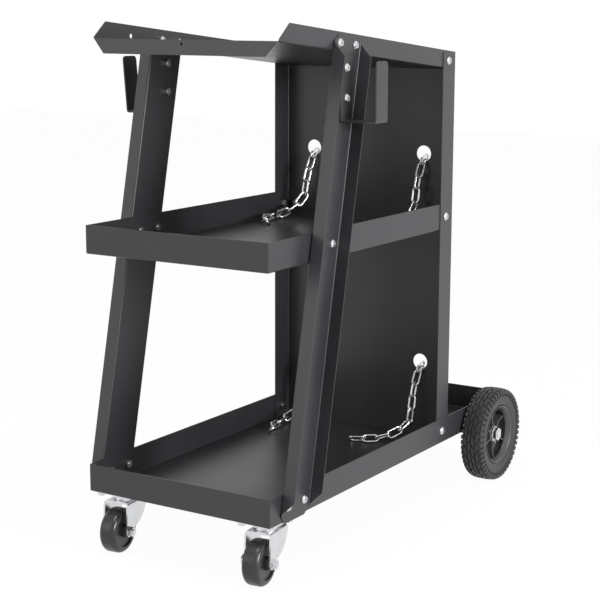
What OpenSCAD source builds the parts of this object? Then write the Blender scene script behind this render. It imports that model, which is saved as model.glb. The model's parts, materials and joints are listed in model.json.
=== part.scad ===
// Cart for a welding machine, with a platform behind it for a gas cylinder.
// X runs across the cart, Y from its front to its rear, and Z up from the ground.
// The parts are laid out from the front face of the trays and then set on the origin,
// which is on the ground under the middle of the cart.

/* [Trays] */
// Thickness of the steel sheet
sheet_t = 1.2; // [1:0.1:1.5]
// Inside radius of the bends in the sheet
bend_r = 1.2; // [0.8:0.1:2]
// Outside width of the middle and top trays
tray_w = 300; // [284:2:330]
// Length of the bottom tray
bottom_len = 706; // [696:2:750]
// Height of the walls of the bottom and middle trays
wall_h = 40; // [36:1:44]
// Height of the underside of the middle tray
middle_z = 428; // [410:1:440]

/* [Top tray] */
// Height of the front fold of the top tray
top_z = 720; // [710:1:730]
// Distance of that fold behind the front of the trays
top_front_y = 23; // [10:1:35]
// Slope of the top tray, down to the rear
top_slope = 5.6; // [5:0.1:6.5]
// Height of its side flanges above its floor
top_flange = 25; // [22:1:28]
// Depth of the lip at its front
lip_h = 20; // [14:1:24]
// Distance of the spare hole in its left flange from the front of the trays
spare_y = 105; // [80:1:130]
// Diameter of the small hole in the lip
lip_hole_d = 4; // [3:0.5:6]
// Distance of that hole below the fold
lip_hole_drop = 6; // [5:0.5:9]

/* [Back panel] */
// Distance of the rear face of the panel behind the front of the trays
panel_y = 514; // [500:1:530]
// Depth of the flanges of the panel
panel_flange = 40; // [34:1:44]
// Distance of the keyholes from the sides of the trays
keyhole_inset = 50; // [46:1:60]
// Height of the lower keyholes
keyhole_low_z = 209; // [200:1:230]
// Height of the upper keyholes
keyhole_high_z = 540; // [530:1:560]
// Diameter of the round part of a keyhole
keyhole_d = 25; // [22:1:28]
// Width of its slot
slot_w = 7; // [6:0.5:9]
// Depth of the end of the slot below the middle of the round part
slot_drop = 19; // [18:0.5:22]

/* [Front legs] */
// Width of the web of a leg
leg_w = 70; // [64:1:76]
// Depth of its flanges
leg_flange = 20; // [16:1:24]
// Rake of the legs, back from upright
leg_rake = 12.1; // [11:0.1:13]
// Distance of the front edge of a leg behind the trays' front, at the ground
leg_foot_y = 2.5; // [0:0.5:12]
// Rise of the front of a leg's top end above the front fold of the top tray
leg_rise = 7; // [0:1:12]
// Height of its lower end
leg_low_z = 86.5; // [84:0.5:92]
// Width of the cut across its corners
leg_clip = 11; // [8:1:14]

/* [Cable hooks] */
// Width of the strap
hook_w = 30; // [24:1:34]
// Thickness of the strap
hook_t = 1.8; // [1.5:0.1:2.5]
// Reach of the right hook out from the leg
right_hook_reach = 57; // [50:1:64]
// Reach of the left hook out from the leg
left_hook_reach = 60; // [50:1:64]
// Distance of the underside of a hook below the front fold of the top tray
hook_drop = 110; // [104:1:120]
// Height of its outer arm
hook_arm = 82; // [60:1:90]
// Height of its back plate
hook_back = 88; // [86:1:92]
// Radius of the corners of the arm
hook_corner = 6; // [3:0.5:10]
// Inside radius of its two bends
hook_bend = 2; // [1:0.5:4]
// Distance of its middle behind the front of the trays
hook_y = 185.5; // [182:0.5:188]
// Outward lean of the arm of the left hook
left_hook_lean = 5; // [0:0.5:6]
// Outward lean of the arm of the right hook
right_hook_lean = 0; // [0:0.5:6]

/* [Rear wheels] */
// Diameter of a tyre
tyre_d = 152; // [148:1:160]
// Width of a tyre
tyre_w = 36; // [32:1:40]
// Distance of the middle of a tyre outside the side of the trays
tyre_out = 24; // [23:1:32]
// Distance of the axle behind the front of the trays
axle_y = 625; // [615:1:630]
// Diameter of the axle
axle_d = 12; // [10:1:14]
// Diameter of the joint between the tyre and the rim
rim_d = 94; // [88:1:100]
// Diameter of the hub
hub_d = 28; // [26:1:32]
// Number of curved ribs in the rim
rib_count = 6; // [5:1:8]

/* [Casters] */
// Height of a caster, from the ground to the tray
caster_h = 88; // [86:1:92]
// Diameter of the wheel
caster_d = 64; // [60:1:66]
// Width of the wheel
caster_w = 26; // [22:1:28]
// Distance of the kingpin inside the side of the trays
caster_inset = 29; // [29:1:38]
// Distance of the kingpin behind the front of the trays
caster_y = 37; // [36:1:46]
// Trail from the kingpin to the axle
caster_trail = 19; // [16:1:20]
// Turn of the left caster at rest
left_turn = 7; // [-30:1:30]
// Turn of the right caster at rest
right_turn = 7; // [-30:1:30]
// Side of the square top plate
plate_w = 60; // [56:1:60]

/* [Chains] */
// Diameter of the wire
wire_d = 3.6; // [3:0.1:4]
// Inside length of a link
link_len = 21; // [20:0.5:23]
// Outside width of a link
link_w = 15; // [14:0.5:15.5]
// Number of links from a keyhole to the middle of the loop
loop_links = 7; // [7:1:8]

/* [Fasteners] */
// Diameter of the bolts
bolt_d = 6; // [5:0.5:6]
// Diameter of the holes for them
hole_d = 6.5; // [6.4:0.1:7.5]
// Width of the nuts across their flats
nut_af = 10; // [9:0.5:11]

/* [Hidden] */
$fn = 48;

// Extra length of every cutting tool past the sheet that it cuts
over = 1;
// Gap between a fastener or bush and what it sits on
seat = 0.05;
// Radial clearance of every running fit
run = 0.05;
// Gap at the side of what turns
side_gap = 0.3;

// The trays
bottom_z = caster_h;
bottom_floor = bottom_z + sheet_t;
middle_floor = middle_z + sheet_t;
wall_top = bottom_z + wall_h;
// The back panel stands inside the walls of the bottom tray and round the other two
bottom_w = tray_w + 4 * sheet_t;
panel_w = tray_w + 2 * sheet_t;
panel_front = panel_y - sheet_t;
keyhole_x = tray_w / 2 - keyhole_inset;
tyre_x = tray_w / 2 + tyre_out;
caster_x = tray_w / 2 - caster_inset;
hook_z = top_z - hook_drop;

// Upper face of the top tray's floor at a distance behind the front
function top_floor(y) = top_z - (y - top_front_y) * tan(top_slope);
panel_top = top_floor(panel_front) + top_flange / cos(top_slope);
// Inward slope of the ends of the lip and of the front ends of the flanges
miter = 45;

// Height of the bolts above the floor of the top tray
bolt_rise = 10;
// Distance between the two bolts of a pair in a leg
leg_pair = 40;
// The legs lean in, so that each touches the wall of the bottom tray and the top tray
leg_top_z = top_z + leg_rise;
leg_len = (leg_top_z + leg_clip * sin(leg_rake)) / cos(leg_rake);
leg_lean = atan((bottom_w - tray_w) / 2 / (leg_top_z - wall_top));
leg_base_x = bottom_w / 2 + wall_top * tan(leg_lean);
function leg_mid_y(z) = leg_foot_y + leg_w / 2 / cos(leg_rake) + z * tan(leg_rake);
// Outer face of a leg's web at a height
function leg_out_x(z) = leg_base_x - z * tan(leg_lean) + sheet_t / cos(leg_lean);
function leg_in_x(z) = leg_base_x - z * tan(leg_lean);

low_bolt_z = bottom_z + wall_h / 2;
mid_bolt_z = middle_z + wall_h / 2;
top_bolt_z0 = top_floor(0) + bolt_rise / cos(top_slope);
top_pair_y = (leg_mid_y(0) + tan(leg_rake) * top_bolt_z0) / (1 + tan(leg_rake) * tan(top_slope));
function rise_z(y) = top_floor(y) + bolt_rise / cos(top_slope);
// The bolts of a leg as distance from the front, height, and inner face of what they hold
leg_bolt_spots = [for (s = [-1, 1]) each [
    [leg_mid_y(low_bolt_z) + s * leg_pair / 2, low_bolt_z, bottom_w / 2 - sheet_t],
    [leg_mid_y(mid_bolt_z) + s * leg_pair / 2, mid_bolt_z, tray_w / 2 - sheet_t],
    [top_pair_y + s * leg_pair / 2, rise_z(top_pair_y + s * leg_pair / 2), tray_w / 2 - sheet_t]
]];
// The bolts of a hook, measured up its back plate
hook_low_bolt = 32;
hook_bolt_gap = 40.5;
hook_bolt_zs = [hook_z + hook_low_bolt, hook_z + hook_low_bolt + hook_bolt_gap];
// The bolts through the flanges of the panel, as height and inner and outer faces
flange_bolt_share = 0.57;
flange_bolt_y = panel_front - flange_bolt_share * panel_flange;
panel_bolt_spots = [
    [low_bolt_z, tray_w / 2, bottom_w / 2],
    [mid_bolt_z, tray_w / 2 - sheet_t, panel_w / 2],
    [rise_z(flange_bolt_y), tray_w / 2 - sheet_t, panel_w / 2]
];
// The bolts through the rear wall of the middle tray
wall_bolt_inset = 17;
wall_bolt_x = tray_w / 2 - wall_bolt_inset;

// Fasteners
head_d = 12;
head_h = 3.3;
socket_af = 4;
socket_depth = 1.8;
nut_t = 5;
bolt_end = 1.5;

// Casters, from the tray down
plate_t = 2.5;
plate_z = caster_h - plate_t;
// The balls run between the plate and a raised seat on the fork, inside the fixed race
cup_h = 4.5;
ball_room = 6.5;
race_h = cup_h + ball_room;
fork_t = 2.5;
fork_z = plate_z - race_h;
race_d = 33;
race_wall = 1.5;
race_gap = 0.4;
ball_gap = 0.15;
ball_d = ball_room - 2 * ball_gap;
ball_ring_d = 22;
ball_count = 9;
kingpin_d = 10;
kingpin_head_d = 16;
kingpin_head_h = 3.5;
fork_in = 17.5;
fork_out = fork_in + fork_t;
fork_front = 23;
fork_rear = 27;
fork_bend = 2;
fork_eye = 8;
// The curve of the rear edge of a cheek, with its middle in front of the kingpin
cheek_r = 46;
cheek_mid = 17;
cheek_rise = 5;
plate_hole_inset = 7;
plate_hole_gap = plate_w - 2 * plate_hole_inset;
caster_axle_z = caster_d / 2;
caster_bolt_d = 8;
bush_wall = 1.5;
bush_d = caster_bolt_d + 2 * run + 2 * bush_wall;
caster_head_h = 5;
caster_head_af = 13;
caster_nut_t = 6;
hub_gap = 1;
boss_wall = 4;
tread_r = 7;
wheel_dish = 2.5;
wheel_rim_share = 0.72;

// Rear wheels
axle_z = tyre_d / 2;
hub_inset = 2;
hub_len = 22;
hub_in_x = tyre_x - tyre_w / 2 + hub_inset;
hub_out_x = hub_in_x + hub_len;
washer_t = 1.5;
washer_d = 24;
axle_nut_t = 6.2;
axle_nut_af = 19;
spacer_d = 18;
bracket_t = 3;
bracket_inset = 11.5;
bracket_x = tray_w / 2 - bracket_inset;
bracket_foot = 27;
bracket_len = 44;
bracket_bolt_gap = 26;
bracket_eye = 11;
axle_tip = 1;
axle_end_x = hub_out_x + side_gap + washer_t + seat + axle_nut_t + axle_tip;
spacer_in_x = bracket_x + bracket_t + seat;

// Chains
ring_r = (link_w - wire_d) / 2;
half_straight = (link_len + wire_d) / 2 - ring_r;
link_slack = 0.5;
lap = 2 * ring_r - wire_d - link_slack;
link_step = 2 * half_straight + lap;
lie_gap = 0.3;
slot_tilt = 20;
// Height of a lying chain's middle line above the sheet, with its links turned 45 degrees
lie_h = ring_r * sin(45) + wire_d / 2 + lie_gap;

// Reach of the front casters and of the rear, for the origin
front_reach = caster_y - caster_trail - caster_d / 2;
origin_y = (front_reach + bottom_len) / 2;

// Outline of a trough with upright sides and round lower corners
module trough(w, h, r) {
    translate([-w / 2, r]) square([w, h - r]);
    translate([r - w / 2, 0]) square([w - 2 * r, r + r / 2]);
    for (s = [-1, 1]) translate([s * (w / 2 - r), r]) circle(r);
}

// Block with a flat floor, upright sides and round lower edges all round
module floor_block(w, len, h, r) {
    intersection() {
        translate([0, len, 0]) rotate([90, 0, 0]) linear_extrude(len) trough(w, h, r);
        translate([-w / 2, len / 2, 0]) rotate([90, 0, 90]) linear_extrude(w) trough(len, h, r);
    }
}

module folded_tray(w, len) {
    difference() {
        floor_block(w, len, wall_h, bend_r + sheet_t);
        translate([0, sheet_t, sheet_t])
            floor_block(w - 2 * sheet_t, len - 2 * sheet_t, wall_h, bend_r);
    }
}

// Outline of a channel of sheet, with its back on the line v = 0
module channel(w, h) {
    difference() {
        trough(w, h, bend_r + sheet_t);
        translate([0, sheet_t]) trough(w - 2 * sheet_t, h, bend_r);
    }
}

// Hole along X through both sides of the cart
module cross_hole(y, z, d = hole_d) {
    translate([-bottom_w, y, z]) rotate([0, 90, 0]) cylinder(d = d, h = 2 * bottom_w);
}

module down_hole(x, y, z, d = hole_d) {
    translate([x, y, z - over]) cylinder(d = d, h = 2 * over + plate_t + sheet_t);
}

// Moves a part from the layout to its place on the origin
module placed() {
    translate([0, -origin_y, 0]) children();
}

module mirrored(s) {
    mirror([s < 0 ? 1 : 0, 0, 0]) children();
}

module bottom_tray() {
    color([0.25, 0.26, 0.27]) placed() difference() {
        translate([0, 0, bottom_z]) folded_tray(bottom_w, bottom_len);
        for (p = leg_bolt_spots) if (p[1] == low_bolt_z) cross_hole(p[0], p[1]);
        cross_hole(flange_bolt_y, low_bolt_z);
        for (p = caster_bolt_spots, s = [-1, 1]) down_hole(s * p[0], p[1], bottom_z);
        for (p = bracket_bolt_spots, s = [-1, 1]) down_hole(s * p[0], p[1], bottom_z);
    }
}

module middle_tray() {
    color([0.25, 0.26, 0.27]) placed() difference() {
        translate([0, 0, middle_z]) folded_tray(tray_w, panel_front);
        for (p = leg_bolt_spots) if (p[1] == mid_bolt_z) cross_hole(p[0], p[1]);
        cross_hole(flange_bolt_y, mid_bolt_z);
        wall_bolt_holes();
        corner_trims();
    }
}

module wall_bolt_holes() {
    for (s = [-1, 1])
        translate([s * wall_bolt_x, panel_y + over, mid_bolt_z])
            rotate([90, 0, 0]) cylinder(d = hole_d, h = 2 * (sheet_t + over));
}

// Trims the rear corners of a tray, where they stand in the bends of the panel
module corner_trims() {
    for (s = [-1, 1])
        translate([s * tray_w / 2, panel_front, 0]) cylinder(r = bend_r, h = panel_top + over, $fn = 4);
}

// Trims the feet of the panel's flanges, which stand in the bends of the bottom tray
module foot_trims() {
    for (s = [-1, 1])
        translate([s * panel_w / 2, panel_y + over, bottom_floor]) rotate([90, 0, 0])
            cylinder(r = bend_r, h = panel_flange + 2 * over, $fn = 4);
}

// The top tray is drawn flat, from its front fold, and then tipped
module top_tray() {
    w = tray_w;
    r = bend_r + sheet_t;
    floor_len = (panel_front - top_front_y) / cos(top_slope);
    slant = tan(top_slope);
    color([0.25, 0.26, 0.27]) placed() difference() {
        translate([0, top_front_y, top_z]) rotate([-top_slope, 0, 0]) {
            // Floor and side flanges, cut back at the front and upright at the rear
            intersection() {
                translate([0, floor_len + over, -sheet_t]) rotate([90, 0, 0])
                    linear_extrude(floor_len + over - r) channel(w, top_flange + sheet_t);
                translate([-w / 2, 0, 0]) rotate([90, 0, 90]) linear_extrude(w) polygon([
                    [0, -sheet_t], [0, 0], [top_flange * tan(miter), top_flange],
                    [floor_len - top_flange * slant, top_flange],
                    [floor_len + sheet_t * slant, -sheet_t]
                ]);
            }
            // Front fold and lip
            intersection() {
                translate([-w / 2, 0, 0]) rotate([90, 0, 90]) linear_extrude(w) difference() {
                    translate([lip_h + r, 0]) rotate([0, 0, 180]) lip_outline(r);
                    translate([lip_h + r + sheet_t, -sheet_t]) rotate([0, 0, 180]) lip_outline(bend_r);
                }
                translate([0, lip_h, 0]) rotate([90, 0, 0]) linear_extrude(2 * lip_h) polygon([
                    [r - w / 2, 0], [lip_h * tan(miter) - w / 2, -lip_h],
                    [w / 2 - lip_h * tan(miter), -lip_h], [w / 2 - r, 0]
                ]);
            }
        }
        for (p = leg_bolt_spots) if (p[1] > mid_bolt_z) cross_hole(p[0], p[1]);
        cross_hole(flange_bolt_y, rise_z(flange_bolt_y));
        corner_trims();
        translate([-tray_w / 2 - over, spare_y, rise_z(spare_y)])
            rotate([0, 90, 0]) cylinder(d = hole_d, h = sheet_t + 2 * over);
        translate([0, top_front_y, top_z]) rotate([-top_slope, 0, 0])
            translate([0, sheet_t + over, -lip_hole_drop]) rotate([90, 0, 0])
                cylinder(d = lip_hole_d, h = sheet_t + 2 * over);
    }
}

// Solid corner with its rounded edge at the front of the fold, measured back from it
module lip_outline(r) {
    side = lip_h + r;
    square([side - r, side]);
    square([side, side - r]);
    translate([side - r, side - r]) circle(r);
}

module back_panel() {
    color([0.27, 0.28, 0.29]) placed() difference() {
        translate([0, panel_y, bottom_floor]) mirror([0, 1, 0])
            linear_extrude(panel_top - bottom_floor) channel(panel_w, panel_flange);
        for (s = [-1, 1], z = [keyhole_low_z, keyhole_high_z])
            translate([s * keyhole_x, panel_y + over, z]) rotate([90, 0, 0])
                linear_extrude(sheet_t + 2 * over) keyhole();
        for (p = panel_bolt_spots) cross_hole(flange_bolt_y, p[0]);
        wall_bolt_holes();
        foot_trims();
    }
}

module keyhole() {
    end_y = slot_drop - slot_w / 2;
    circle(d = keyhole_d);
    translate([-slot_w / 2, -end_y]) square([slot_w, end_y]);
    translate([0, -end_y]) circle(d = slot_w);
}

// Right leg, drawn upright on its front edge and then raked and leaned
module leg() {
    function low_end(y) = (leg_low_z + y * sin(leg_rake)) / cos(leg_rake);
    front_low = low_end(leg_clip) + leg_clip;
    rear_low = low_end(leg_w - leg_clip) + leg_clip;
    placed() difference() {
        translate([leg_base_x, leg_foot_y, 0]) rotate([-leg_rake, -leg_lean, 0]) intersection() {
            translate([0, leg_w / 2, 0]) mirror([1, 0, 0]) rotate([0, 0, 90])
                linear_extrude(leg_len) channel(leg_w, leg_flange);
            rotate([90, 0, 90]) linear_extrude(leg_flange) polygon([
                [0, front_low], [leg_clip, low_end(leg_clip)],
                [leg_w - leg_clip, low_end(leg_w - leg_clip)], [leg_w, rear_low],
                [leg_w, leg_len], [leg_clip, leg_len], [0, leg_len - leg_clip]
            ]);
            union() {
                cube([sheet_t + bend_r, leg_w, leg_len]);
                flange_outline(0, front_low, leg_len - leg_clip);
                flange_outline(leg_w / 2, rear_low, leg_len);
            }
        }
        for (p = leg_bolt_spots) cross_hole(p[0], p[1]);
        for (z = hook_bolt_zs) cross_hole(hook_y, z);
    }
}

// Side view of a flange with its ends cut at 45 degrees
module flange_outline(y, low, high) {
    translate([0, y + leg_w / 2, 0]) rotate([90, 0, 0]) linear_extrude(leg_w / 2) polygon([
        [0, low], [leg_flange, low + leg_flange], [leg_flange, high - leg_flange], [0, high]
    ]);
}

module right_front_leg() {
    color([0.33, 0.34, 0.35]) leg();
}

module left_front_leg() {
    color([0.33, 0.34, 0.35]) mirrored(-1) leg();
}

// Points of an arc round a middle
bend_facet_count = 6;
function arc(mid, r, from, to) = [
    for (i = [0:bend_facet_count])
        let (a = from + (to - from) * i / bend_facet_count) mid + r * [cos(a), sin(a)]
];

// Side view of a strap with a bend at the leg and one at its arm, which opens by the lean
module strap_outline(reach, lean) {
    r = hook_bend;
    t = hook_t;
    near = [r + t, r + t];
    far = [reach - r - t, r + t];
    up = (hook_arm - r - t) * [sin(lean), cos(lean)];
    out = [cos(lean), -sin(lean)];
    polygon(concat(
        [[0, hook_back]], arc(near, r + t, 180, 270), arc(far, r + t, -90, -lean),
        [far + (r + t) * out + up, far + r * out + up],
        arc(far, r, -lean, -90), arc(near, r, 270, 180), [[t, hook_back]]
    ));
}

// Hook on the right leg: a strap bent up round a coil of cable
module hook(reach, lean) {
    placed() difference() {
        translate([leg_in_x(hook_z), hook_y, hook_z]) rotate([0, -leg_lean, 0])
            translate([sheet_t + seat, 0, 0]) difference() {
                translate([0, hook_w / 2, 0]) rotate([90, 0, 0]) linear_extrude(hook_w)
                    strap_outline(reach, lean);
                translate([reach - hook_bend - hook_t, 0, hook_bend + hook_t]) rotate([0, lean, 0])
                    for (s = [0, 1]) mirror([0, s, 0])
                        translate([hook_bend - over, hook_w / 2, hook_arm - hook_bend - hook_t])
                            corner_cut();
            }
        for (z = hook_bolt_zs)
            translate([0, hook_y, z]) rotate([0, 90, 0]) cylinder(d = hole_d, h = leg_base_x + reach / 2);
    }
}

// What is cut off to round one upper corner of the arm
module corner_cut() {
    rotate([90, 0, 90]) linear_extrude(hook_t + 2 * over)
        translate([-hook_corner, -hook_corner]) difference() {
            square(hook_corner + over);
            circle(hook_corner);
        }
}

module right_cable_hook() {
    color([0.33, 0.34, 0.35]) hook(right_hook_reach, right_hook_lean);
}

module left_cable_hook() {
    color([0.33, 0.34, 0.35]) mirrored(-1) hook(left_hook_reach, left_hook_lean);
}

// Button head bolt along +X, with the underside of its head at x = 0 and its end at -len
module bolt(len, d = bolt_d) {
    color([0.78, 0.79, 0.8]) rotate([0, 90, 0]) difference() {
        rotate_extrude() polygon([
            [0, -len], [d / 2, -len], [d / 2, 0], [head_d / 2, 0],
            [head_d / 2, head_h / 3], [head_d / 3, head_h], [0, head_h]
        ]);
        translate([0, 0, head_h - socket_depth])
            cylinder(d = socket_af / cos(30), h = socket_depth + over, $fn = 6);
    }
}

// Hexagon nut along -X, with its seat at x = 0
module nut(d = bolt_d, af = nut_af, t = nut_t) {
    color([0.74, 0.75, 0.76]) rotate([0, -90, 0]) difference() {
        cylinder(d = af / cos(30), h = t, $fn = 6);
        translate([0, 0, -over]) cylinder(d = d + 2 * run, h = t + 2 * over);
    }
}

// A bolt whose head is seated at x_out and whose nut is seated at x_in, on the right side
module side_bolt(y, z, x_out, x_in) {
    placed() translate([x_out + seat, y, z]) bolt(x_out - x_in + 2 * seat + nut_t + bolt_end);
}

module side_nut(y, z, x_in) {
    placed() translate([x_in - seat, y, z]) nut();
}

// Largest outward step of the leaning web under a head
head_lift = head_d / 2 * tan(leg_lean);

module leg_bolts() {
    for (s = [-1, 1], p = leg_bolt_spots)
        mirrored(s) side_bolt(p[0], p[1], leg_out_x(p[1]) + head_lift, p[2]);
}

module leg_nuts() {
    for (s = [-1, 1], p = leg_bolt_spots) mirrored(s) side_nut(p[0], p[1], p[2]);
}

module hook_bolts() {
    for (s = [-1, 1], z = hook_bolt_zs)
        mirrored(s) side_bolt(hook_y, z, leg_out_x(z) + hook_t + seat + head_lift, leg_in_x(z) - head_lift);
}

module hook_nuts() {
    for (s = [-1, 1], z = hook_bolt_zs) mirrored(s) side_nut(hook_y, z, leg_in_x(z) - head_lift);
}

module panel_bolts() {
    for (s = [-1, 1]) {
        for (p = panel_bolt_spots) mirrored(s) side_bolt(flange_bolt_y, p[0], p[2], p[1]);
        placed() translate([s * wall_bolt_x, panel_y + seat, mid_bolt_z]) rotate([0, 0, 90])
            bolt(2 * sheet_t + 2 * seat + nut_t + bolt_end);
    }
}

module panel_nuts() {
    for (s = [-1, 1]) {
        for (p = panel_bolt_spots) mirrored(s) side_nut(flange_bolt_y, p[0], p[1]);
        placed() translate([s * wall_bolt_x, panel_front - sheet_t - seat, mid_bolt_z])
            rotate([0, 0, 90]) nut();
    }
}

caster_bolt_spots = [for (i = [-1, 1], j = [-1, 1])
    [caster_x + i * plate_hole_gap / 2, caster_y + j * plate_hole_gap / 2]];

module caster_bolts() {
    for (p = caster_bolt_spots, s = [-1, 1])
        placed() translate([s * p[0], p[1], bottom_floor + seat]) rotate([0, -90, 0])
            bolt(sheet_t + plate_t + 2 * seat + nut_t);
}

module caster_nuts() {
    for (p = caster_bolt_spots, s = [-1, 1])
        placed() translate([s * p[0], p[1], plate_z - seat]) rotate([0, -90, 0]) nut();
}

bracket_bolt_spots = [for (j = [-1, 1])
    [bracket_x - bracket_foot / 2, axle_y + j * bracket_bolt_gap / 2]];

module bracket_bolts() {
    for (p = bracket_bolt_spots, s = [-1, 1])
        placed() translate([s * p[0], p[1], bottom_floor + seat]) rotate([0, -90, 0])
            bolt(sheet_t + bracket_t + 2 * seat + nut_t + bolt_end);
}

module bracket_nuts() {
    for (p = bracket_bolt_spots, s = [-1, 1])
        placed() translate([s * p[0], p[1], bottom_z - bracket_t - seat]) rotate([0, -90, 0]) nut();
}

// Angle under the rear of the bottom tray that holds the axle
module axle_bracket() {
    color([0.25, 0.26, 0.27]) placed() difference() {
        union() {
            translate([bracket_x + bracket_t - bracket_foot, axle_y - bracket_len / 2, bottom_z - bracket_t])
                cube([bracket_foot, bracket_len, bracket_t]);
            translate([bracket_x, axle_y, axle_z]) rotate([0, 90, 0])
                cylinder(r = bracket_eye, h = bracket_t);
            translate([bracket_x, axle_y, axle_z]) rotate([90, 0, 90]) linear_extrude(bracket_t) polygon([
                [-bracket_eye, 0], [bracket_eye, 0],
                [bracket_len / 2, bottom_z - axle_z], [-bracket_len / 2, bottom_z - axle_z]
            ]);
        }
        translate([bracket_x - over, axle_y, axle_z]) rotate([0, 90, 0])
            cylinder(d = axle_d + 2 * seat, h = bracket_t + 2 * over);
        for (p = bracket_bolt_spots) down_hole(p[0], p[1], bottom_z - bracket_t);
    }
}

module right_axle_bracket() {
    axle_bracket();
}

module left_axle_bracket() {
    mirrored(-1) axle_bracket();
}

module rear_axle() {
    color([0.74, 0.75, 0.76]) placed() translate([-axle_end_x, axle_y, axle_z])
        rotate([0, 90, 0]) cylinder(d = axle_d, h = 2 * axle_end_x);
}

module axle_spacers() {
    for (s = [-1, 1])
        color([0.3, 0.31, 0.32]) mirrored(s) placed() translate([spacer_in_x, axle_y, axle_z])
            rotate([0, 90, 0]) ring(spacer_d, axle_d + 2 * seat, hub_in_x - side_gap - spacer_in_x);
}

module axle_washers() {
    for (s = [-1, 1])
        color([0.74, 0.75, 0.76]) mirrored(s) placed()
            translate([hub_out_x + side_gap, axle_y, axle_z])
                rotate([0, 90, 0]) ring(washer_d, axle_d + 2 * seat, washer_t);
}

module axle_nuts() {
    for (s = [-1, 1])
        mirrored(s) placed()
            translate([hub_out_x + side_gap + washer_t + seat + axle_nut_t, axle_y, axle_z])
                nut(axle_d, axle_nut_af, axle_nut_t);
}

module ring(d_out, d_in, h) {
    difference() {
        cylinder(d = d_out, h = h);
        translate([0, 0, -over]) cylinder(d = d_in, h = h + 2 * over);
    }
}

// Section of a tyre: across as a share of its half width, and out as a share of its depth
tyre_shares = [
    [-0.74, 0], [-0.86, 0.14], [-0.95, 0.3], [-1, 0.5], [-0.985, 0.62], [-0.93, 0.66],
    [-0.93, 0.7], [-0.97, 0.76], [-0.92, 0.84], [-0.7, 0.94], [-0.36, 0.985], [0, 1]
];

module tyre() {
    depth = (tyre_d - rim_d) / 2;
    function spot(p, s) = [rim_d / 2 + p[1] * depth, s * p[0] * tyre_w / 2];
    last = len(tyre_shares) - 1;
    color([0.2, 0.2, 0.21]) placed() translate([tyre_x, axle_y, axle_z]) rotate([0, 90, 0])
        rotate_extrude($fn = 96) polygon(concat(
            [for (p = tyre_shares) spot(p, 1)],
            [for (i = [last - 1:-1:0]) spot(tyre_shares[i], -1)]
        ));
}

module right_rear_tyre() {
    tyre();
}

module left_rear_tyre() {
    mirrored(-1) tyre();
}

// Moulded rim: a ring that narrows to its throat, a hub, and a thin web with curved ribs
barrel_w = 31;
rim_lip = 1.5;
throat_r = 38;
throat_w = 15;
web_t = 3;
rib_t = 2;
rib_h = 7.5;

module rim() {
    mid = (hub_in_x + hub_out_x) / 2;
    outer_r = rim_d / 2 - seat;
    lip_r = outer_r - rim_lip;
    rib_r = throat_r / 2;
    color([0.22, 0.22, 0.23]) placed() translate([0, axle_y, axle_z]) rotate([0, 90, 0]) difference() {
        union() {
            translate([0, 0, tyre_x]) rotate_extrude($fn = 96) polygon(concat(
                [[outer_r, -barrel_w / 2], [outer_r, barrel_w / 2], [lip_r, barrel_w / 2]],
                [[throat_r, throat_w / 2], [throat_r, -throat_w / 2], [lip_r, -barrel_w / 2]]
            ));
            translate([0, 0, hub_in_x]) cylinder(d = hub_d, h = hub_out_x - hub_in_x);
            translate([0, 0, mid - web_t / 2]) cylinder(r = throat_r + rim_lip, h = web_t);
            translate([0, 0, mid]) linear_extrude(rib_h) intersection() {
                circle(throat_r + rim_lip);
                for (i = [0:rib_count - 1]) rotate([0, 0, i * 360 / rib_count])
                    translate([rib_r, 0]) difference() {
                        intersection() {
                            circle(rib_r + rib_t);
                            translate([-rib_r, 0]) square(2 * rib_r + rib_t);
                        }
                        circle(rib_r);
                    }
            }
        }
        translate([0, 0, hub_in_x - over])
            cylinder(d = axle_d + 2 * run, h = hub_out_x - hub_in_x + 2 * over);
    }
}

module right_rear_rim() {
    rim();
}

module left_rear_rim() {
    mirrored(-1) rim();
}

// Places a caster part, which is drawn round its kingpin with its wheel to the front
module at_caster(s, turn) {
    placed() translate([s * caster_x, caster_y, 0]) rotate([0, 0, turn]) children();
}

// Top plate with the fixed race pressed on its underside
module caster_plate() {
    color([0.72, 0.73, 0.74]) {
        difference() {
            union() {
                translate([-plate_w / 2, -plate_w / 2, plate_z]) cube([plate_w, plate_w, plate_t]);
                translate([0, 0, fork_z + race_gap]) ring(race_d, race_d - 2 * race_wall, race_h - race_gap);
            }
            translate([0, 0, plate_z - over]) cylinder(d = kingpin_d + 2 * seat, h = plate_t + 2 * over);
            for (i = [-1, 1], j = [-1, 1])
                down_hole(i * plate_hole_gap / 2, j * plate_hole_gap / 2, plate_z);
        }
    }
}

module caster_kingpin() {
    head_z = fork_z - fork_t - side_gap;
    color([0.72, 0.73, 0.74]) rotate_extrude() polygon([
        [0, head_z - kingpin_head_h], [kingpin_head_d / 3, head_z - kingpin_head_h],
        [kingpin_head_d / 2, head_z - kingpin_head_h / 2],
        [kingpin_head_d / 2, head_z], [kingpin_d / 2, head_z],
        [kingpin_d / 2, caster_h - seat], [0, caster_h - seat]
    ]);
}

module caster_balls() {
    for (i = [0:ball_count - 1])
        color([0.8, 0.8, 0.82]) rotate([0, 0, i * 360 / ball_count])
            translate([ball_ring_d / 2, 0, fork_z + cup_h + ball_room / 2]) sphere(d = ball_d, $fn = 24);
}

// Side view of a cheek of the fork, from its top down to the eye round the axle
module cheek() {
    translate([-caster_trail, caster_axle_z]) circle(fork_eye);
    intersection() {
        translate([-cheek_mid, fork_z + cheek_rise]) circle(cheek_r);
        polygon([
            [-fork_front, fork_z], [fork_rear, fork_z], [fork_rear, caster_axle_z],
            [-caster_trail - fork_eye, caster_axle_z]
        ]);
    }
}

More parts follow.
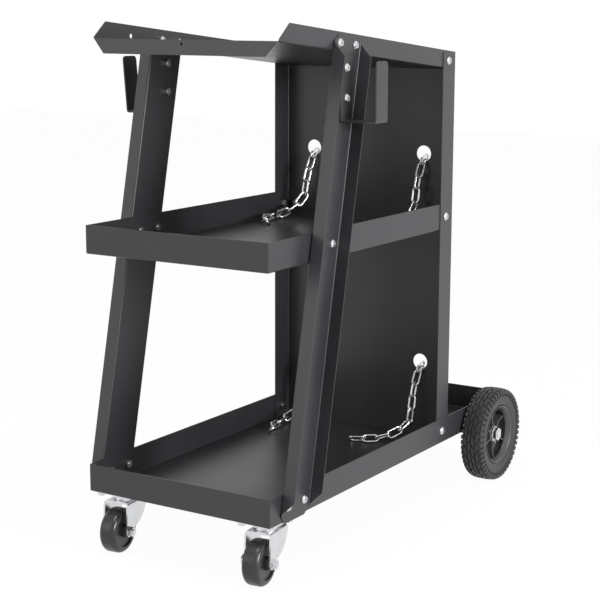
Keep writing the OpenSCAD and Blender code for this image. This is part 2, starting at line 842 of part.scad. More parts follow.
module caster_fork() {
    color([0.72, 0.73, 0.74]) difference() {
        union() {
            intersection() {
                translate([0, fork_rear, fork_z]) rotate([90, 0, 0]) mirror([0, 1])
                    linear_extrude(fork_rear + fork_front + fork_eye) difference() {
                        trough(2 * fork_out, fork_z, fork_bend + fork_t);
                        translate([0, fork_t]) trough(2 * fork_in, fork_z, fork_bend);
                    }
                rotate([90, 0, 90]) translate([0, 0, -fork_out]) linear_extrude(2 * fork_out) cheek();
            }
            translate([0, 0, fork_z - fork_t / 2])
                cylinder(d = race_d - 2 * race_wall - 2 * side_gap, h = cup_h + fork_t / 2);
        }
        translate([0, 0, fork_z - fork_t - over])
            cylinder(d = kingpin_d + 2 * run, h = fork_t + cup_h + 2 * over);
        translate([-fork_out - over, -caster_trail, caster_axle_z]) rotate([0, 90, 0])
            cylinder(d = caster_bolt_d + 2 * seat, h = 2 * (fork_out + over));
    }
}

// Along X, with its middle at the axle of the caster
module at_axle() {
    translate([0, -caster_trail, caster_axle_z]) rotate([0, 90, 0]) children();
}

module caster_wheel() {
    w = caster_w / 2;
    r = caster_d / 2;
    hub_w = fork_in - hub_gap;
    rim_r = r * wheel_rim_share;
    boss_r = bush_d / 2 + boss_wall;
    dish = wheel_dish;
    color([0.16, 0.16, 0.17]) at_axle() rotate_extrude($fn = 72) polygon(concat(
        [[bush_d / 2 + run, -hub_w], [boss_r, -hub_w]],
        [[boss_r, dish - w], [rim_r, dish - w], [rim_r, -w]],
        arc([r - tread_r, tread_r - w], tread_r, -90, 0),
        arc([r - tread_r, w - tread_r], tread_r, 0, 90),
        [[rim_r, w], [rim_r, w - dish], [boss_r, w - dish], [boss_r, hub_w], [bush_d / 2 + run, hub_w]]
    ));
}

module caster_bush() {
    len = 2 * (fork_in - seat);
    color([0.6, 0.6, 0.61]) at_axle() translate([0, 0, -len / 2]) ring(bush_d, caster_bolt_d + 2 * seat, len);
}

module caster_axle() {
    len = 2 * fork_out + 2 * seat + caster_nut_t + bolt_end;
    color([0.74, 0.75, 0.76]) at_axle() {
        translate([0, 0, -fork_out - seat - caster_head_h])
            cylinder(d = caster_head_af / cos(30), h = caster_head_h, $fn = 6);
        translate([0, 0, -fork_out - seat - caster_head_h / 2])
            cylinder(d = caster_bolt_d, h = len + caster_head_h / 2);
    }
}

module caster_nut() {
    color([0.74, 0.75, 0.76]) at_axle() translate([0, 0, fork_out + seat]) difference() {
        cylinder(d = caster_head_af / cos(30), h = caster_nut_t, $fn = 6);
        translate([0, 0, -over]) cylinder(d = caster_bolt_d + 2 * run, h = caster_nut_t + 2 * over);
    }
}

// A link lies along X, flat on the XY plane, and is turned by roll, dive and heading
module link() {
    for (s = [0, 180]) rotate([0, 0, s]) {
        translate([half_straight, 0, 0]) rotate([0, 0, -90]) rotate_extrude(angle = 180)
            translate([ring_r, 0]) circle(d = wire_d, $fn = 20);
        translate([-half_straight, ring_r, 0]) rotate([0, 90, 0])
            cylinder(d = wire_d, h = 2 * half_straight, $fn = 20);
    }
}

// A turn is [heading, dive, roll] in degrees
function way(o) = [cos(o[0]) * cos(o[1]), sin(o[0]) * cos(o[1]), -sin(o[1])];
function flat_normal(o) =
    -sin(o[2]) * [-sin(o[0]), cos(o[0]), 0]
    + cos(o[2]) * [cos(o[0]) * sin(o[1]), sin(o[0]) * sin(o[1]), cos(o[1])];
function unit(v) = v / norm(v);
// How much of the bend between two links is taken along the ring of the first
function bend_share(o1, o2) =
    let (t1 = way(o1), t2 = way(o2), b1 = t2 - (t2 * t1) * t1, b2 = t1 - (t1 * t2) * t2)
    norm(b1) < 0.001 ? 0.5 :
    let (s1 = 1 - pow(unit(b1) * flat_normal(o1), 2), s2 = 1 - pow(unit(b2) * flat_normal(o2), 2))
    s1 / (s1 + s2);
// Middle of the link after the one at p
function next_place(p, o1, o2) =
    let (m = bend_share(o1, o2))
    p + half_straight * (way(o1) + way(o2)) + lap * unit((1 - m) * way(o1) + m * way(o2));
function places(p, turns, i = 0) =
    i == len(turns) - 1 ? [p] :
    concat([p], places(next_place(p, turns[i], turns[i + 1]), turns, i + 1));

// The link in a slot stands upright, with its lower strand on the end of the slot
rear_y = panel_y + ring_r + wire_d / 2 + lie_gap;
slot_link_y = rear_y - half_straight * cos(slot_tilt);
function slot_link_z(hole_z) = hole_z - slot_drop + lie_gap
    + (ring_r + wire_d / 2) / cos(slot_tilt) + (slot_link_y - panel_front) * tan(slot_tilt);

// The first links lean out from the panel, and the others hang almost straight
hang_dives = [64, 74, 80];
// Share of the steepest dive that each of the three links takes that come down to the sheet
ease_shares = [1, 0.62, 0.28];
// Turn of the links about the chain, from the slot on, towards 45 degrees where they lie
twists = [10, 25, 38, 45];
function pick(list, i) = list[min(i, len(list) - 1)];
// The last hanging link ends less than a step above the sheet, by this share
rest_share = 0.9;
function hang_count(drop) = floor((drop - rest_share * link_step) / link_step);
function end_turns(drop, headings, steep) =
    let (n = hang_count(drop))
    concat(
        [[-90, slot_tilt, 90]],
        [for (i = [1:n])
            [(headings[0] + 90) * i / n - 90, pick(hang_dives, i - 1), i % 2 == 0 ? -90 : 0]],
        [for (i = [1:len(headings) - 1]) [
            headings[i],
            i <= len(ease_shares) ? steep * ease_shares[i - 1] : 0,
            pick(twists, i - 1) - ((n + i) % 2 == 0 ? 90 : 0)
        ]]
    );
function end_height(p, drop, headings, steep) =
    let (all = places(p, end_turns(drop, headings, steep))) all[len(all) - 1][2];
// The steepest of those three is sought between these two slopes
least_dive = 1;
most_dive = 89;
function find_steep(p, drop, headings, goal, low = least_dive, high = most_dive, n = 22) =
    let (mid = (low + high) / 2)
    n == 0 ? mid :
    end_height(p, drop, headings, mid) > goal
        ? find_steep(p, drop, headings, goal, mid, high, n - 1)
        : find_steep(p, drop, headings, goal, low, mid, n - 1);

// Behind the panel the chain hangs in a loop, whose slope grows evenly from its middle
function loop_turns(q) = concat(
    [[90, -slot_tilt, 90]],
    [for (i = [1:loop_links]) [
        180,
        i > 1 ? atan(q * (loop_links - i)) : 90,
        (i % 2 == 1 ? 90 : 0) - pick(loop_twists, i - 1)
    ]]
);
loop_twists = [0, 15, 30, 45];
function loop_middle(p, q) = let (all = places(p, loop_turns(q))) all[len(all) - 1][0];
function find_slope(p, low = 0.01, high = 8, n = 30) =
    let (mid = (low + high) / 2)
    n == 0 ? mid :
    loop_middle(p, mid) > 0 ? find_slope(p, low, mid, n - 1) : find_slope(p, mid, high, n - 1);

module draw_links(spots, turns, first, last) {
    for (i = [first:last])
        color([0.82, 0.82, 0.8]) placed() translate(spots[i])
            rotate([turns[i][2], turns[i][1], turns[i][0]]) link();
}

// One end of a chain in front of the panel, down to the floor of a tray
module chain_end(s, hole_z, floor_z, headings) {
    p = [s * keyhole_x, slot_link_y, slot_link_z(hole_z)];
    drop = p[2] - floor_z - lie_h;
    steep = find_steep(p, drop, headings, floor_z + lie_h);
    turns = end_turns(drop, headings, steep);
    draw_links(places(p, turns), turns, 0, len(turns) - 1);
}

module chain_loop(hole_z) {
    p = [keyhole_x, slot_link_y, slot_link_z(hole_z)];
    q = find_slope(p);
    turns = loop_turns(q);
    spots = places(p, turns);
    draw_links(spots, turns, 1, loop_links);
    mirror([1, 0, 0]) draw_links(spots, turns, 1, loop_links - 1);
}

// Headings of the links of each end: the hanging ones, then one by one to the end
upper_right_way = [-97, -92, -90, -90, -90, -90];
upper_left_way = [-112, -120, -114, -106, -96, -80, -63, -46];
lower_right_way = [-105, -112, -122, -132, -142, -150];
lower_left_way = [-108, -108, -103, -95, -80, -63];

module upper_chain() {
    chain_end(1, keyhole_high_z, middle_floor, upper_right_way);
    chain_end(-1, keyhole_high_z, middle_floor, upper_left_way);
    chain_loop(keyhole_high_z);
}

module lower_chain() {
    chain_end(1, keyhole_low_z, bottom_floor, lower_right_way);
    chain_end(-1, keyhole_low_z, bottom_floor, lower_left_way);
    chain_loop(keyhole_low_z);
}

bottom_tray();
middle_tray();
top_tray();
back_panel();
right_front_leg();
left_front_leg();
right_cable_hook();
left_cable_hook();
right_axle_bracket();
left_axle_bracket();
rear_axle();
right_rear_tyre();
left_rear_tyre();
right_rear_rim();
left_rear_rim();
axle_spacers();
axle_washers();
axle_nuts();
at_caster(1, 0) caster_plate();  // right_caster_plate
at_caster(-1, 0) caster_plate();  // left_caster_plate
at_caster(1, 0) caster_kingpin();  // right_caster_kingpin
at_caster(-1, 0) caster_kingpin();  // left_caster_kingpin
at_caster(1, 0) caster_balls();  // right_caster_balls
at_caster(-1, 0) caster_balls();  // left_caster_balls
at_caster(1, right_turn) caster_fork();  // right_caster_fork
at_caster(-1, left_turn) caster_fork();  // left_caster_fork
at_caster(1, right_turn) caster_wheel();  // right_caster_wheel
at_caster(-1, left_turn) caster_wheel();  // left_caster_wheel
at_caster(1, right_turn) caster_bush();  // right_caster_bush
at_caster(-1, left_turn) caster_bush();  // left_caster_bush
at_caster(1, right_turn) caster_axle();  // right_caster_axle
at_caster(-1, left_turn) caster_axle();  // left_caster_axle
at_caster(1, right_turn) caster_nut();  // right_caster_nut
at_caster(-1, left_turn) caster_nut();  // left_caster_nut
leg_bolts();
leg_nuts();
hook_bolts();
hook_nuts();
panel_bolts();
panel_nuts();
caster_bolts();
caster_nuts();
bracket_bolts();
bracket_nuts();
upper_chain();
lower_chain();
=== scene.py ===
import bpy
import json
from math import sin, cos, pi, radians, atan2, floor
from mathutils import Matrix, Vector

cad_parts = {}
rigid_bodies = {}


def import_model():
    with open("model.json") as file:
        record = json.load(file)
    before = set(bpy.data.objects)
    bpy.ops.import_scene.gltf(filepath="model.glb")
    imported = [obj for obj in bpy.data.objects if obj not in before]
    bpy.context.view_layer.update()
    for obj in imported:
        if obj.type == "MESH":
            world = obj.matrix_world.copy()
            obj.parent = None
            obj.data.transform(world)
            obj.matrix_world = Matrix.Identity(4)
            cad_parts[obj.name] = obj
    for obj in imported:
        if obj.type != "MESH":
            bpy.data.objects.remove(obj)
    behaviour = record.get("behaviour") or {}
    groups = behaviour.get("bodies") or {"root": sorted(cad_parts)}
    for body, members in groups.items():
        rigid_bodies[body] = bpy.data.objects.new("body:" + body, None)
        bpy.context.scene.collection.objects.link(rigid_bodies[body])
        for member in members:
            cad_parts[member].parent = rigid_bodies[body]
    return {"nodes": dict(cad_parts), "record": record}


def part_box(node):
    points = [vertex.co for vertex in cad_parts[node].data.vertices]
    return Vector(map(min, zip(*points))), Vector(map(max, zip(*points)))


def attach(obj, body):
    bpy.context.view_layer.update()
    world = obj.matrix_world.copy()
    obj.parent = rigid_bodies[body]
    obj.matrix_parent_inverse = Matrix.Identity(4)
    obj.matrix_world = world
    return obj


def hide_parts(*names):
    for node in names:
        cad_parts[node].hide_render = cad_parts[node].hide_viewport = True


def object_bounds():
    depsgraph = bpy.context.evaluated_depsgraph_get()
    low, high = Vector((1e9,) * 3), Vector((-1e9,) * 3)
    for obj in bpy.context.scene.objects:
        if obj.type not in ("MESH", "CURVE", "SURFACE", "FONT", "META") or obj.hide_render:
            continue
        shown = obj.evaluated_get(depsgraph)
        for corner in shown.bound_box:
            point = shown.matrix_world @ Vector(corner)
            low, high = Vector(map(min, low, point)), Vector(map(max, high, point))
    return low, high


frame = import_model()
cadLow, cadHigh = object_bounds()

nodes = frame["nodes"]
print("cart loaded,", len(nodes), "nodes")


# Camera, set from the straight edges of the trays and legs

cameraPlace = {
    "location": (1.21127, -1.94599, 0.75687),
    "azimuth": 33.2146,
    "elevation": 8.6619,
    "pan": 0.85255,
    "tilt": -2.02333,
    "roll": -0.0423,
    "focalPixels": 1531.195,
    "imageWidth": 600,
    "sensor": 36.0,
}


def makeCamera(c):
    a, e = radians(c["azimuth"]), radians(c["elevation"])
    p, t, r = radians(c["pan"]), radians(c["tilt"]), radians(c["roll"])
    back = Vector((sin(a) * cos(e), -cos(a) * cos(e), sin(e)))
    right = Vector((cos(a), sin(a), 0))
    look = Matrix((right, back.cross(right), back))
    pan = Matrix(((cos(p), 0, sin(p)), (0, 1, 0), (-sin(p), 0, cos(p))))
    tilt = Matrix(((1, 0, 0), (0, cos(t), sin(t)), (0, -sin(t), cos(t))))
    roll = Matrix(((cos(r), -sin(r), 0), (sin(r), cos(r), 0), (0, 0, 1)))
    data = bpy.data.cameras.new("cartCamera")
    data.sensor_fit = "HORIZONTAL"
    data.sensor_width = c["sensor"]
    data.lens = c["focalPixels"] / c["imageWidth"] * c["sensor"]
    data.clip_start = 0.05
    data.clip_end = 60
    camera = bpy.data.objects.new("cartCamera", data)
    bpy.context.scene.collection.objects.link(camera)
    camera.matrix_world = Matrix.Translation(c["location"]) @ (roll @ tilt @ pan @ look).transposed().to_4x4()
    bpy.context.scene.camera = camera


makeCamera(cameraPlace)
bpy.context.scene.view_settings.view_transform = "Standard"
print("camera set")


# Small helpers for the shader editor

def newTree(name):
    material = bpy.data.materials.new(name)
    material.use_nodes = True
    tree = material.node_tree
    tree.nodes.clear()
    return material, tree


def addNode(tree, kind, **sockets):
    node = tree.nodes.new(kind)
    for name, value in sockets.items():
        target = node.inputs[name.replace("_", " ")]
        if isinstance(value, bpy.types.NodeSocket):
            tree.links.new(value, target)
        else:
            target.default_value = value
    return node


def newGroup(name, inputs, outputs):
    group = bpy.data.node_groups.new(name, "ShaderNodeTree")
    for label, kind, value in inputs:
        socket = group.interface.new_socket(label, in_out="INPUT", socket_type=kind)
        if value is not None:
            socket.default_value = value
    for label, kind in outputs:
        group.interface.new_socket(label, in_out="OUTPUT", socket_type=kind)
    start = group.nodes.new("NodeGroupInput")
    end = group.nodes.new("NodeGroupOutput")
    return group, start, end


def noise(tree, vector, scale, detail=3.0, rough=0.5):
    node = addNode(tree, "ShaderNodeTexNoise", Vector=vector, Scale=scale, Detail=detail, Roughness=rough)
    return node.outputs["Fac"]


def spread(tree, value, low, high, newLow=0.0, newHigh=1.0):
    node = addNode(tree, "ShaderNodeMapRange", Value=value)
    node.inputs["From Min"].default_value = low
    node.inputs["From Max"].default_value = high
    node.inputs["To Min"].default_value = newLow
    node.inputs["To Max"].default_value = newHigh
    return node.outputs["Result"]


def blendColour(tree, share, first, second):
    node = tree.nodes.new("ShaderNodeMix")
    node.data_type = "RGBA"
    for socket, value in ((node.inputs[0], share), (node.inputs[6], first), (node.inputs[7], second)):
        if isinstance(value, bpy.types.NodeSocket):
            tree.links.new(value, socket)
        else:
            socket.default_value = value
    return node.outputs[2]


# Cloudy variation of colour and gloss with a fine grain, shared by all finishes

def makeGrainGroup():
    group, start, end = newGroup("surfaceGrain", [
        ("Vector", "NodeSocketVector", None),
        ("Deep Colour", "NodeSocketColor", (0.1, 0.1, 0.1, 1)),
        ("Pale Colour", "NodeSocketColor", (0.2, 0.2, 0.2, 1)),
        ("Cloud Scale", "NodeSocketFloat", 6.0),
        ("Grain Scale", "NodeSocketFloat", 600.0),
        ("Gloss Low", "NodeSocketFloat", 0.4),
        ("Gloss High", "NodeSocketFloat", 0.6),
    ], [("Colour", "NodeSocketColor"), ("Roughness", "NodeSocketFloat"), ("Height", "NodeSocketFloat")])
    cloud = noise(group, start.outputs["Vector"], start.outputs["Cloud Scale"], 4.0, 0.6)
    grain = noise(group, start.outputs["Vector"], start.outputs["Grain Scale"], 2.0, 0.5)
    mixed = addNode(group, "ShaderNodeMath")
    mixed.operation = "MULTIPLY_ADD"
    group.links.new(grain, mixed.inputs[0])
    mixed.inputs[1].default_value = 0.35    # how much the grain adds to the clouds
    group.links.new(cloud, mixed.inputs[2])
    share = spread(group, mixed.outputs[0], 0.42, 0.92)    # from nearly all deep to nearly all pale
    colour = blendColour(group, share, start.outputs["Deep Colour"], start.outputs["Pale Colour"])
    gloss = addNode(group, "ShaderNodeMapRange", Value=cloud)
    gloss.inputs["From Min"].default_value = 0.3
    gloss.inputs["From Max"].default_value = 0.7
    group.links.new(start.outputs["Gloss Low"], gloss.inputs["To Min"])
    group.links.new(start.outputs["Gloss High"], gloss.inputs["To Max"])
    group.links.new(colour, end.inputs["Colour"])
    group.links.new(gloss.outputs["Result"], end.inputs["Roughness"])
    group.links.new(grain, end.inputs["Height"])
    return group


# Fine straight marks and pits of a plated or rubbed metal

def makeScuffGroup():
    group, start, end = newGroup("fineScuffs", [
        ("Vector", "NodeSocketVector", None),
        ("Scale", "NodeSocketFloat", 40.0),
        ("Amount", "NodeSocketFloat", 0.3),
    ], [("Mask", "NodeSocketFloat"), ("Height", "NodeSocketFloat")])
    stretched = addNode(group, "ShaderNodeMapping", Vector=start.outputs["Vector"])
    stretched.inputs["Rotation"].default_value = (0.4, 0.7, 0.3)    # askew to every face
    stretched.inputs["Scale"].default_value = (1.0, 14.0, 1.0)    # long and thin
    lines = noise(group, stretched.outputs["Vector"], start.outputs["Scale"], 5.0, 0.65)
    sharp = spread(group, lines, 0.56, 0.7)    # only the strongest lines become marks
    part = addNode(group, "ShaderNodeMath")
    part.operation = "MULTIPLY"
    group.links.new(sharp, part.inputs[0])
    group.links.new(start.outputs["Amount"], part.inputs[1])
    group.links.new(part.outputs[0], end.inputs["Mask"])
    group.links.new(lines, end.inputs["Height"])
    return group


surfaceGrain = makeGrainGroup()
fineScuffs = makeScuffGroup()


def placeGroup(tree, group, vector, values):
    node = tree.nodes.new("ShaderNodeGroup")
    node.node_tree = group
    tree.links.new(vector, node.inputs["Vector"])
    for name, value in values.items():
        node.inputs[name].default_value = value
    return node


def grey(level, red=1.0, blue=1.0):
    return (level * red, level, level * blue, 1)


def makeFinish(name, look):
    material, tree = newTree(name)
    where = tree.nodes.new("ShaderNodeTexCoord").outputs["Object"]
    grain = placeGroup(tree, surfaceGrain, where, look["grain"])
    colour, height = grain.outputs["Colour"], grain.outputs["Height"]
    if "scuffs" in look:
        scuffs = placeGroup(tree, fineScuffs, where, look["scuffs"])
        colour = blendColour(tree, scuffs.outputs["Mask"], colour, look["scuffColour"])
    bump = addNode(tree, "ShaderNodeBump", Height=height)
    bump.inputs["Strength"].default_value = look["bump"]
    bump.inputs["Distance"].default_value = look["depth"]
    shader = addNode(tree, "ShaderNodeBsdfPrincipled", Base_Color=colour,
                     Roughness=grain.outputs["Roughness"], Normal=bump.outputs["Normal"])
    for socket, value in look["shader"].items():
        shader.inputs[socket].default_value = value
    out = tree.nodes.new("ShaderNodeOutputMaterial")
    tree.links.new(shader.outputs["BSDF"], out.inputs["Surface"])
    return material


powderLook = {
    "grain": {"Deep Colour": grey(0.021, 1.03, 1.14), "Pale Colour": grey(0.030, 1.03, 1.13),
              "Cloud Scale": 5.0, "Grain Scale": 900.0, "Gloss Low": 0.3, "Gloss High": 0.4},
    "bump": 0.2, "depth": 0.0004,
    "shader": {"Metallic": 0.0, "Specular IOR Level": 0.5},
}
zincLook = {
    "grain": {"Deep Colour": grey(0.64, 0.99, 1.02), "Pale Colour": grey(0.76, 0.99, 1.02),
              "Cloud Scale": 60.0, "Grain Scale": 700.0, "Gloss Low": 0.22, "Gloss High": 0.3},
    "scuffs": {"Scale": 60.0, "Amount": 0.2}, "scuffColour": grey(0.55),
    "bump": 0.12, "depth": 0.0003,
    "shader": {"Metallic": 1.0},
}
chainLook = {
    "grain": {"Deep Colour": grey(0.58), "Pale Colour": grey(0.82, 1.0, 0.99),
              "Cloud Scale": 90.0, "Grain Scale": 800.0, "Gloss Low": 0.2, "Gloss High": 0.36},
    "scuffs": {"Scale": 90.0, "Amount": 0.3}, "scuffColour": grey(0.4),
    "bump": 0.1, "depth": 0.0003,
    "shader": {"Metallic": 1.0},
}
tyreLook = {
    "grain": {"Deep Colour": grey(0.024, 1.02, 1.05), "Pale Colour": grey(0.042, 1.02, 1.05),
              "Cloud Scale": 22.0, "Grain Scale": 500.0, "Gloss Low": 0.38, "Gloss High": 0.52},
    "bump": 0.35, "depth": 0.0005,
    "shader": {"Metallic": 0.0, "Specular IOR Level": 0.35},
}
wheelLook = {
    "grain": {"Deep Colour": grey(0.014), "Pale Colour": grey(0.026),
              "Cloud Scale": 18.0, "Grain Scale": 450.0, "Gloss Low": 0.22, "Gloss High": 0.36},
    "bump": 0.1, "depth": 0.0003,
    "shader": {"Metallic": 0.0, "Specular IOR Level": 0.45},
}
plasticLook = {
    "grain": {"Deep Colour": grey(0.052, 1.02, 1.03), "Pale Colour": grey(0.075, 1.02, 1.03),
              "Cloud Scale": 14.0, "Grain Scale": 520.0, "Gloss Low": 0.25, "Gloss High": 0.36},
    "bump": 0.18, "depth": 0.0004,
    "shader": {"Metallic": 0.0, "Specular IOR Level": 0.45},
}
finishes = {
    "powder_coat": makeFinish("powderCoat", powderLook),
    "zinc": makeFinish("brightZinc", zincLook),
    "chain_zinc": makeFinish("chainZinc", chainLook),
    "tyre_rubber": makeFinish("tyreRubber", tyreLook),
    "wheel_rubber": makeFinish("casterRubber", wheelLook),
    "dark_plastic": makeFinish("blackPlastic", plasticLook),
}
slotOf = {part["node"]: part["material_slot"] for part in frame["record"]["subparts"]}
for nodeName, part in nodes.items():
    finish = finishes[slotOf[nodeName]]
    if part.material_slots:
        for slot in part.material_slots:
            slot.link = "DATA"
            slot.material = finish
    else:
        part.data.materials.append(finish)
print("finishes made")


# Modelling helpers

def nothingSelected():
    if bpy.context.mode != "OBJECT":
        bpy.ops.object.mode_set(mode="OBJECT")
    bpy.ops.object.select_all(action="DESELECT")


def finishPiece(piece, body, slotName, replaced, smoothAngle):
    nothingSelected()
    piece.select_set(True)
    bpy.context.view_layer.objects.active = piece
    bpy.ops.object.transform_apply(location=True, rotation=True, scale=True)
    bpy.ops.object.shade_smooth_by_angle(angle=radians(smoothAngle))
    piece.data.materials.clear()
    piece.data.materials.append(finishes[slotName])
    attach(piece, body)
    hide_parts(replaced)
    piece.select_set(False)


def turnWheel(angle, middle):
    bpy.ops.transform.rotate(value=angle, orient_axis="X", center_override=tuple(middle))


# A ring round the axle of a rear wheel, drawn through its section and left in edit mode

def drawRing(name, side, middle, columns, rings, slants):
    nothingSelected()
    bpy.ops.mesh.primitive_circle_add(vertices=columns, radius=rings[0][1], fill_type="NOTHING",
                                      location=(middle.x + side * rings[0][0], middle.y, middle.z),
                                      rotation=(0, pi / 2, 0))
    piece = bpy.context.object
    piece.name = name
    bpy.ops.object.mode_set(mode="EDIT")
    bpy.ops.mesh.select_all(action="SELECT")
    for i, (x, r) in enumerate(rings[1:]):
        oldX, oldR = rings[i]
        bpy.ops.mesh.extrude_edges_move(TRANSFORM_OT_translate={"value": (side * (x - oldX), 0, 0)})
        bpy.ops.transform.resize(value=(1, r / oldR, r / oldR),
                                 center_override=(middle.x + side * x, middle.y, middle.z))
        if i in slants:
            turnWheel(-slants[i] * 2 * pi / columns, middle)
    bpy.ops.mesh.select_all(action="DESELECT")
    bpy.ops.mesh.select_mode(type="EDGE")
    bpy.ops.mesh.select_non_manifold()
    bpy.ops.mesh.bridge_edge_loops()
    bpy.ops.mesh.select_mode(type="FACE")
    bpy.ops.mesh.select_all(action="DESELECT")
    return piece


def turnFacesOut():
    bpy.ops.mesh.select_all(action="SELECT")
    bpy.ops.mesh.normals_make_consistent(inside=False)
    bpy.ops.mesh.select_all(action="DESELECT")


# Rear tyre: a ring with raised blocks on its tread

tyre = {
    "columns": 196,
    # across from the middle, and radius, from one bead to the middle of the tread
    "section": [(-0.0133, 0.0471), (-0.0150, 0.0488), (-0.0160, 0.0512), (-0.0170, 0.0552), (-0.0173, 0.0598),
                (-0.0172, 0.0630), (-0.0190, 0.0637), (-0.0190, 0.0646), (-0.0166, 0.0658), (-0.0165, 0.0690),
                (-0.0159, 0.0716), (-0.0138, 0.0728), (-0.0125, 0.0729), (-0.0073, 0.0732), (-0.0060, 0.0733),
                (-0.0007, 0.0733)],
    # which bands of the section carry blocks: columns from one block to the next, and where they start
    "blocks": {8: (4, 0), 9: (4, 0), 10: (4, 0), 12: (7, 0), 14: (7, 3), 16: (7, 0), 18: (7, 3),
               20: (4, 0), 21: (4, 0), 22: (4, 0)},
    # how far the blocks of a band slant, in columns
    "slants": {12: 4, 14: -4, 16: 4, 18: -4},
    "blockInset": 0.0007,
    "blockHeight": 0.0025,
    "smoothAngle": 30,
}


def makeTyre(side, t):
    hand = "right" if side > 0 else "left"
    low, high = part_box(hand + "_rear_tyre")
    middle = (low + high) / 2
    rings = t["section"] + [(-x, r) for x, r in reversed(t["section"])]
    piece = drawRing(hand + "RearTyre", side, middle, t["columns"], rings, t["slants"])
    turnFacesOut()
    bpy.ops.object.mode_set(mode="OBJECT")
    step = 2 * pi / t["columns"]
    turned = [0]    # how far each ring is turned, in columns
    for i in range(len(rings) - 1):
        turned.append(turned[-1] + t["slants"].get(i, 0))
    # One column in each share of a band is left as the groove between two blocks
    for face in piece.data.polygons:
        band = face.index // t["columns"]
        if band not in t["blocks"]:
            continue
        share, start = t["blocks"][band]
        c = piece.matrix_world @ face.center - middle
        column = floor(atan2(c.z, c.y) / step - (turned[band] + turned[band + 1]) / 2 + 0.25)
        face.select = (column + start) % share > 0
    bpy.ops.object.mode_set(mode="EDIT")
    bpy.ops.mesh.inset(thickness=t["blockInset"], depth=t["blockHeight"])
    bpy.ops.mesh.select_all(action="DESELECT")
    bpy.ops.object.mode_set(mode="OBJECT")
    finishPiece(piece, hand + "_rear_wheel_body", "tyre_rubber", hand + "_rear_tyre", t["smoothAngle"])


# Rear rim: a ring with a web and dished spokes

rim = {
    "columns": 96,
    # across from the middle of the tyre, and radius, from the bore's outer end round to its inner end
    "section": [(0.0060, 0.0061), (0.0060, 0.0130), (0.0052, 0.0140), (-0.0070, 0.0142), (-0.0080, 0.0154),
                (-0.0080, 0.0430), (-0.0068, 0.0442), (0.0036, 0.0444), (0.0048, 0.0436), (0.0056, 0.0414),
                (0.0066, 0.0411), (0.0074, 0.0413), (0.0092, 0.0420),
                (0.0116, 0.0431), (0.0140, 0.0448), (0.0148, 0.0452), (0.0154, 0.0460), (0.0155, 0.0470),
                (-0.0155, 0.0470), (-0.0154, 0.0460), (-0.0148, 0.0452), (-0.0130, 0.0444), (-0.0118, 0.0438),
                (-0.0110, 0.0428), (-0.0110, 0.0154), (-0.0120, 0.0142), (-0.0152, 0.0140), (-0.0160, 0.0130),
                (-0.0160, 0.0061)],
    "spokes": 6,
    "firstAngle": 33,
    "spokeWidth": 0.0022,
    # front and back edge of a spoke at the hub, then its steps out to the ring and their rise
    "spokeEnds": (0.0052, -0.0095),
    "spokeStart": 0.0125,
    "spokeStep": 0.0051,
    "spokeRise": [-0.0012, -0.0008, 0.0, 0.0007, 0.0012, 0.0014],
    "smoothAngle": 40,
}


def makeRim(side, d):
    hand = "right" if side > 0 else "left"
    low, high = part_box(hand + "_rear_tyre")
    middle = (low + high) / 2
    piece = drawRing(hand + "RearRim", side, middle, d["columns"], d["section"], {})
    # One spoke, drawn out from the hub, and its copies round the wheel
    front, back = d["spokeEnds"]
    bpy.ops.mesh.primitive_plane_add(size=1, rotation=(0, 0, 0), location=(
        middle.x + side * (front + back) / 2, middle.y, middle.z + d["spokeStart"]))
    bpy.ops.transform.resize(value=(front - back, d["spokeWidth"], 1))
    for rise in d["spokeRise"]:
        bpy.ops.mesh.extrude_region_move(TRANSFORM_OT_translate={"value": (side * rise, 0, d["spokeStep"])})
    bpy.ops.mesh.select_linked()
    turnWheel(radians(90 - d["firstAngle"]), middle)
    for i in range(1, d["spokes"]):
        bpy.ops.mesh.duplicate()
        turnWheel(2 * pi / d["spokes"], middle)
    turnFacesOut()
    finishPiece(piece, hand + "_rear_wheel_body", "dark_plastic", hand + "_rear_rim", d["smoothAngle"])


for side in (1, -1):
    makeTyre(side, tyre)
    makeRim(side, rim)
print("rear wheels made")


# Floor, world and lamps

studio = {
    "floorSize": 14.0,
    "floorGap": 0.0004,
    "floorColour": (0.93, 0.93, 0.93, 1),
    "floorLift": 0.96,    # share of plain white that the camera and reflections see
    "worldLevel": 0.5,
    "key": {"location": (3.3, -0.5, 1.1), "aim": (0, 0, 0.35), "size": 1.2, "energy": 110},
    "fill": {"location": (-1.6, -3.0, 1.4), "aim": (0, 0, 0.4), "size": 1.8, "energy": 10},
    "top": {"location": (0.3, -1.0, 3.0), "aim": (0, 0, 0.3), "size": 1.4, "energy": 40},
}


def seenDirectly(tree):
    path = tree.nodes.new("ShaderNodeLightPath")
    share = path.outputs["Is Camera Ray"]
    for name in ("Is Glossy Ray", "Is Transmission Ray"):
        either = addNode(tree, "ShaderNodeMath")
        either.operation = "MAXIMUM"
        tree.links.new(share, either.inputs[0])
        tree.links.new(path.outputs[name], either.inputs[1])
        share = either.outputs[0]
    return share


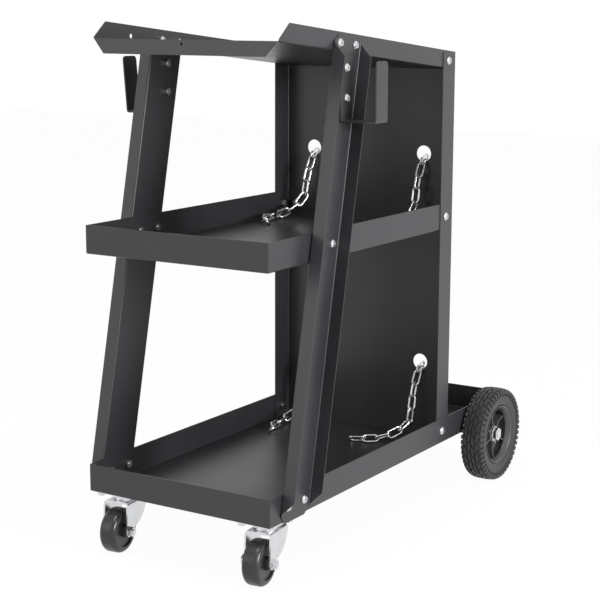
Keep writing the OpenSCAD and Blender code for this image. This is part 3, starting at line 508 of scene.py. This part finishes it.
def makeStudio(s):
    world = bpy.data.worlds.new("studioWorld")
    bpy.context.scene.world = world
    world.use_nodes = True
    tree = world.node_tree
    tree.nodes.clear()
    plain = addNode(tree, "ShaderNodeBackground", Color=(1, 1, 1, 1), Strength=s["worldLevel"])
    white = addNode(tree, "ShaderNodeBackground", Color=(1, 1, 1, 1), Strength=1.0)
    mix = tree.nodes.new("ShaderNodeMixShader")
    tree.links.new(seenDirectly(tree), mix.inputs[0])
    tree.links.new(plain.outputs[0], mix.inputs[1])
    tree.links.new(white.outputs[0], mix.inputs[2])
    out = tree.nodes.new("ShaderNodeOutputWorld")
    tree.links.new(mix.outputs[0], out.inputs["Surface"])

    nothingSelected()
    bpy.ops.mesh.primitive_plane_add(size=s["floorSize"], location=(0, 0, cadLow.z - s["floorGap"]))
    floorPiece = bpy.context.object
    floorPiece.name = "studioFloor"
    material, tree = newTree("paleFloor")
    diffuse = addNode(tree, "ShaderNodeBsdfDiffuse", Color=s["floorColour"])
    lift = addNode(tree, "ShaderNodeEmission", Color=(1, 1, 1, 1), Strength=1.0)
    share = addNode(tree, "ShaderNodeMath")
    share.operation = "MULTIPLY"
    tree.links.new(seenDirectly(tree), share.inputs[0])
    share.inputs[1].default_value = s["floorLift"]
    brighter = tree.nodes.new("ShaderNodeMixShader")
    tree.links.new(share.outputs[0], brighter.inputs[0])
    tree.links.new(diffuse.outputs[0], brighter.inputs[1])
    tree.links.new(lift.outputs[0], brighter.inputs[2])
    out = tree.nodes.new("ShaderNodeOutputMaterial")
    tree.links.new(brighter.outputs[0], out.inputs["Surface"])
    floorPiece.data.materials.append(material)

    for name in ("key", "fill", "top"):
        lamp = s[name]
        data = bpy.data.lights.new(name + "Lamp", "AREA")
        data.shape = "DISK"
        data.size = lamp["size"]
        data.energy = lamp["energy"]
        obj = bpy.data.objects.new(name + "Lamp", data)
        bpy.context.scene.collection.objects.link(obj)
        obj.location = lamp["location"]
        aim = Vector(lamp["aim"]) - Vector(lamp["location"])
        obj.rotation_euler = aim.to_track_quat("-Z", "Y").to_euler()
        obj.visible_camera = False


makeStudio(studio)
print("studio set")
